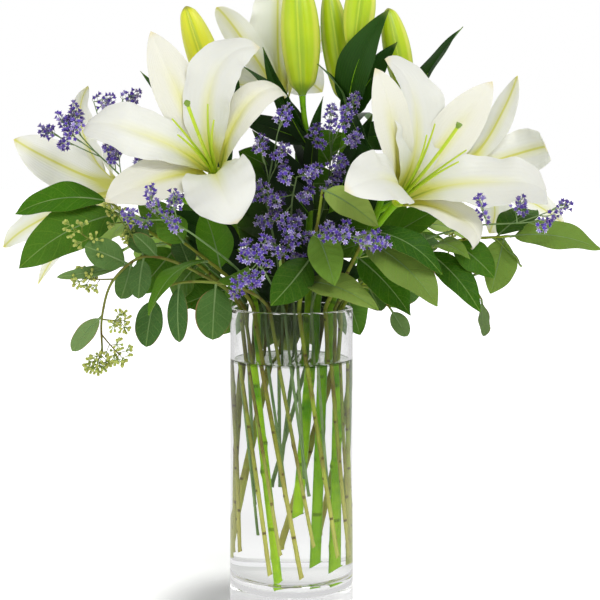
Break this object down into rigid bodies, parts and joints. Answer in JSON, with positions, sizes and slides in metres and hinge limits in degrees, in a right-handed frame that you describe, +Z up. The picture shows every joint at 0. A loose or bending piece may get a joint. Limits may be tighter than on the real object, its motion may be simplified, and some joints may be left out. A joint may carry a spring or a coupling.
{
  "type": "flower arrangement in a vase",
  "caption": "White lilies and green buds with violet sea lavender, shallon leaves and seeded eucalyptus in a clear cylinder vase of water.",
  "frame": {"origin": "the middle of the vase's flat foot", "axes": "+Z up along the vase's axis, -Y to the front, where the two large open blooms face, +X to the right as seen from the front"},
  "size_m": [0.4867, 0.2963, 0.5217],
  "materials": {
    "glass": "clear",
    "water": "clear",
    "lily_stem": "satin",
    "petal": "soft",
    "pistil": "satin",
    "bud": "satin",
    "shallon_leaf": "satin",
    "eucalyptus_leaf": "matte",
    "sea_lavender": "dry"
  },
  "bodies": {
    "root": {"vase": "glass", "water": "water", "lily_stem_left": "lily_stem", "lily_stem_centre": "lily_stem", "lily_stem_inner_right": "lily_stem", "lily_stem_right": "lily_stem", "lily_bloom_left": "petal", "lily_pistil_left": "pistil", "lily_bloom_right": "petal", "lily_pistil_right": "pistil", "lily_bloom_far_left": "petal", "lily_pistil_far_left": "pistil", "lily_bloom_far_right": "petal", "lily_pistil_far_right": "pistil", "lily_bloom_top": "petal", "lily_pistil_top": "pistil", "lily_bud_left": "bud", "lily_bud_centre": "bud", "lily_bud_inner_right": "bud", "lily_bud_outer_right": "bud", "lily_bud_right": "bud", "shallon_left": "shallon_leaf", "shallon_right": "shallon_leaf", "shallon_front_right": "shallon_leaf", "shallon_front": "shallon_leaf", "shallon_front_left": "shallon_leaf", "shallon_back_right": "shallon_leaf", "shallon_back": "shallon_leaf", "shallon_back_left": "shallon_leaf", "eucalyptus_left": "eucalyptus_leaf", "eucalyptus_front_left": "eucalyptus_leaf", "eucalyptus_right": "eucalyptus_leaf", "eucalyptus_back_right": "eucalyptus_leaf", "eucalyptus_back_left": "eucalyptus_leaf", "sea_lavender_far_left": "sea_lavender", "sea_lavender_left": "sea_lavender", "sea_lavender_centre": "sea_lavender", "sea_lavender_middle": "sea_lavender", "sea_lavender_front_left": "sea_lavender", "sea_lavender_front_right": "sea_lavender", "sea_lavender_top": "sea_lavender", "sea_lavender_right": "sea_lavender", "sea_lavender_back_right": "sea_lavender", "sea_lavender_back_left": "sea_lavender"}
  },
  "joints": []
}
